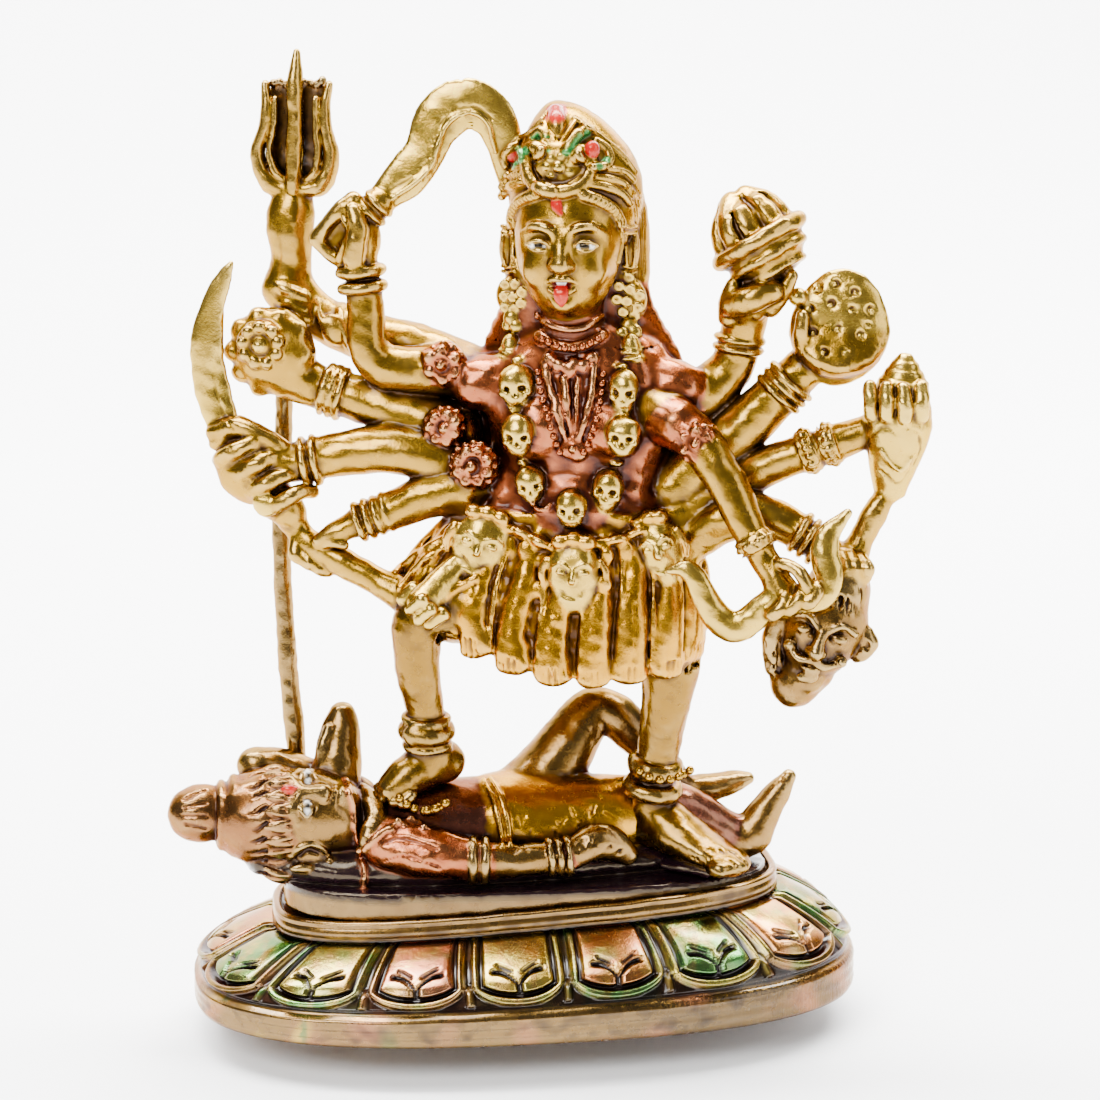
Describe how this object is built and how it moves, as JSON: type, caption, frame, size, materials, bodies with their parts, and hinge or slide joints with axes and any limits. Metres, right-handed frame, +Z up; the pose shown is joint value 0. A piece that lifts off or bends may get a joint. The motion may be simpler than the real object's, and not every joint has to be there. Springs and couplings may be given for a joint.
{
  "type": "kali figure",
  "caption": "Cast brass altar figure of a many-armed Hindu goddess with raised sword, trident and severed head, standing on a reclining god over an oval lotus plinth.",
  "frame": {"origin": "centre of the plinth's flat underside", "axes": "+Z up, +X to the viewer's right along the plinth's length, -Y towards the viewer"},
  "size_m": [0.1564, 0.0802, 0.2009],
  "materials": {
    "plinth_brass": "dark antiqued brass with green, yellow and copper lacquer tints on the petals",
    "figure_brass": "antiqued polished brass with copper and yellow lacquer on body, hair and skirt"
  },
  "bodies": {
    "root": {"lotus_plinth": "plinth_brass", "goddess_and_god": "figure_brass"}
  },
  "joints": []
}
